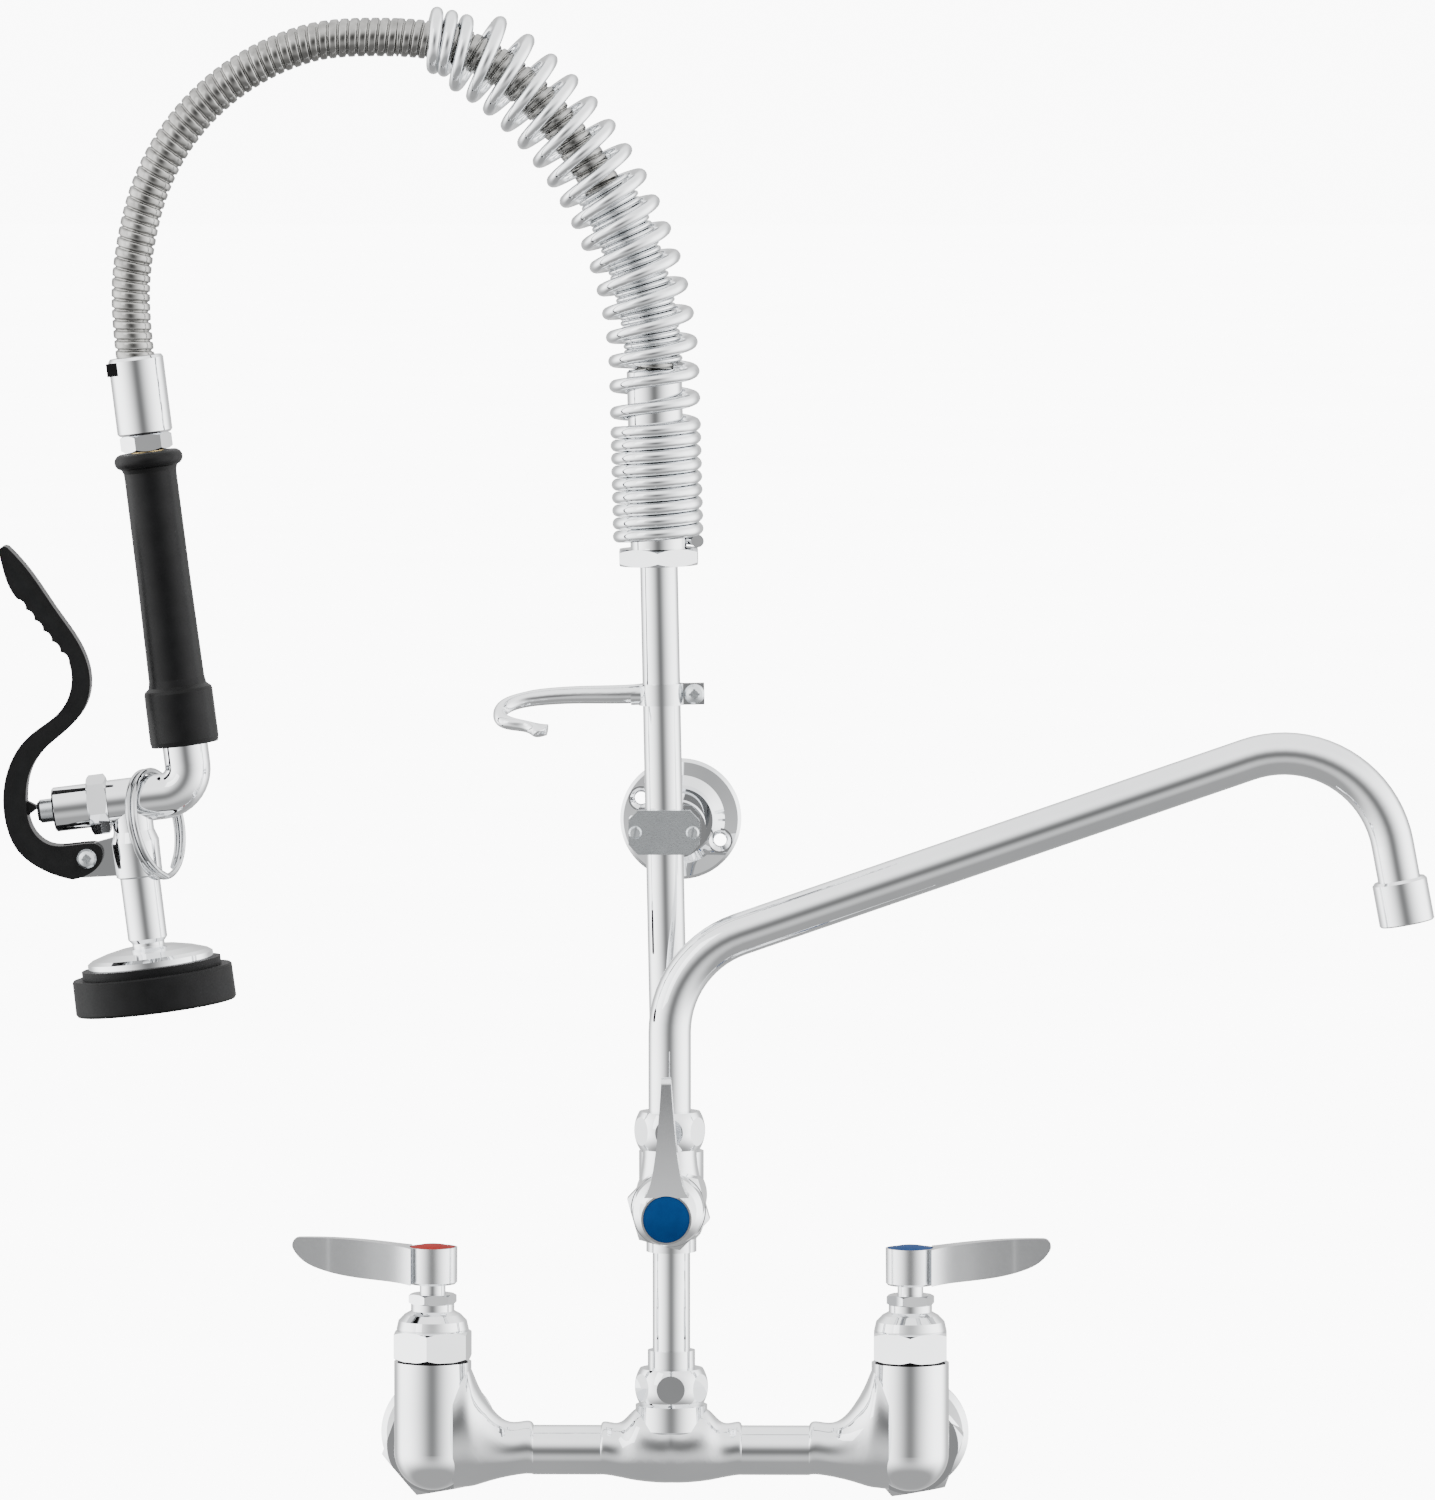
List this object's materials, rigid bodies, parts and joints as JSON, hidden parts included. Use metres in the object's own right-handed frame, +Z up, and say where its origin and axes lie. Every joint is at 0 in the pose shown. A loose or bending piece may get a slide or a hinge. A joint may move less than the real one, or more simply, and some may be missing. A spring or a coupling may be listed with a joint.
{
  "type": "pre-rinse faucet",
  "caption": "Wall-mounted pre-rinse faucet with sprung riser hose, squeeze spray valve, add-on swing spout, finger hook and wall bracket.",
  "frame": {"origin": "point in the wall plane midway between the two inlets", "axes": "+X towards the cold inlet, +Y into the wall, +Z up; the user stands on the -Y side"},
  "size_m": [0.6067, 0.161, 0.6392],
  "materials": {
    "chrome": "polished",
    "brass": "satin",
    "steel": "satin",
    "spring_steel": "polished",
    "hose_steel": "satin",
    "seal_rubber": "matte",
    "bumper_rubber": "satin",
    "grip_black": "satin",
    "lever_black": "satin",
    "grey_plastic": "matte",
    "red_cap": "gloss",
    "blue_cap": "gloss"
  },
  "bodies": {
    "base": {"bridge_body": "chrome", "inlet_flanges": "chrome", "coupling_nuts": "chrome", "sealing_washers": "seal_rubber", "packing_nuts": "chrome", "valve_cartridges": "brass", "hot_bonnet_nut": "chrome", "cold_bonnet_nut": "chrome", "addon_bonnet_nut": "chrome", "centre_nut": "chrome", "riser_nipple": "chrome", "addon_body": "chrome", "riser_coupling_nut": "chrome", "riser_pipe": "chrome", "riser_top_nut": "chrome", "spout_nut": "chrome", "wall_flange": "chrome", "bracket_arm": "chrome", "clamp_saddle": "chrome", "clamp_plate": "steel", "clamp_screws": "steel"},
    "hot_handle": {"hot_stem": "chrome", "hot_handle": "chrome", "hot_handle_screw": "steel", "hot_index_cap": "red_cap"},
    "cold_handle": {"cold_stem": "chrome", "cold_handle": "chrome", "cold_handle_screw": "steel", "cold_index_cap": "blue_cap"},
    "addon_handle": {"addon_stem": "chrome", "addon_handle": "chrome", "addon_handle_screw": "steel", "addon_index_cap": "blue_cap"},
    "spout": {"spout_pipe": "chrome", "spout_o_rings": "seal_rubber", "spout_nozzle": "chrome", "flow_straightener": "grey_plastic"},
    "hook": {"finger_hook": "chrome", "hook_screw": "steel"},
    "guard_base": {"hose_sleeve": "chrome", "spring_guard": "spring_steel", "inner_spring": "spring_steel", "guarded_hose": "hose_steel"},
    "guard_tip": {"free_hose": "hose_steel"},
    "hose_end": {"hose_ferrule": "chrome", "ferrule_plug": "grip_black", "swivel_nut": "chrome"},
    "spray": {"grip_tube": "brass", "grip": "grip_black", "spray_body": "chrome", "plunger_housing": "chrome", "valve_spring": "spring_steel", "spray_bell": "chrome", "spray_face": "grey_plastic", "spray_bumper": "bumper_rubber", "lever_screw": "steel"},
    "lever": {"squeeze_lever": "lever_black"},
    "plunger": {"plunger": "steel"},
    "ring": {"hold_down_ring": "spring_steel"}
  },
  "joints": [
    {"name": "hot_handle_turn", "type": "hinge", "parent": "base", "child": "hot_handle", "pos_m": [-0.1016, -0.065, 0.1153], "axis": [0, 0, 1], "range_deg": [0, 90]},
    {"name": "cold_handle_turn", "type": "hinge", "parent": "base", "child": "cold_handle", "pos_m": [0.1016, -0.065, 0.1153], "axis": [0, 0, 1], "range_deg": [-90, 0]},
    {"name": "addon_handle_turn", "type": "hinge", "parent": "base", "child": "addon_handle", "pos_m": [0, -0.108, 0.11], "axis": [0, 1, 0], "range_deg": [-90, 0]},
    {"name": "spout_swing", "type": "hinge", "parent": "base", "child": "spout", "pos_m": [0, -0.095, 0.133], "axis": [0, 0, 1], "range_deg": [-150, 10]},
    {"name": "hook_turn", "type": "hinge", "parent": "base", "child": "hook", "pos_m": [-0.00409, -0.065, 0.3232], "axis": [-0.0201, 0, 0.9998], "range_deg": [-60, 60]},
    {"name": "hose_swing", "type": "hinge", "parent": "base", "child": "guard_base", "pos_m": [-0.0045, -0.065, 0.384], "axis": [-0.0201, 0, 0.9998], "range_deg": [-5, 90], "stiffness_Nm_per_rad": 1.5},
    {"name": "guard_bend", "type": "hinge", "parent": "guard_base", "child": "guard_tip", "pos_m": [-0.022, -0.065, 0.528], "axis": [0, -1, 0], "range_deg": [-6, 14], "stiffness_Nm_per_rad": 8, "springref_deg": -14.32, "deforming": ["spring_guard", "inner_spring", "guarded_hose"]},
    {"name": "hose_flex", "type": "hinge", "parent": "guard_tip", "child": "hose_end", "pos_m": [-0.205, -0.065, 0.565], "axis": [0, 1, 0], "range_deg": [-12, 35], "stiffness_Nm_per_rad": 1, "springref_deg": 11.46, "deforming": ["free_hose"]},
    {"name": "spray_swivel", "type": "hinge", "parent": "hose_end", "child": "spray", "pos_m": [-0.22223, -0.065, 0.42998], "axis": [-0.1236, 0, 0.9923], "continuous": true},
    {"name": "lever_squeeze", "type": "hinge", "parent": "spray", "child": "lever", "pos_m": [-0.24762, -0.065, 0.25359], "axis": [0, 1, 0], "range_deg": [0, 12], "stiffness_Nm_per_rad": 0.6, "springref_deg": -14.32},
    {"name": "plunger_slide", "type": "slide", "parent": "spray", "child": "plunger", "axis": [0.9923, 0, 0.1236], "range_m": [0, 0.0055], "deforming": ["valve_spring"]},
    {"name": "ring_swing", "type": "hinge", "parent": "spray", "child": "ring", "pos_m": [-0.21856, -0.065, 0.27918], "axis": [0.9923, 0, 0.1236], "range_deg": [-15, 1]}
  ],
  "couplings": [
    {"joint": "plunger_slide", "follows": "lever_squeeze", "m_per_rad": 0.0262}
  ]
}
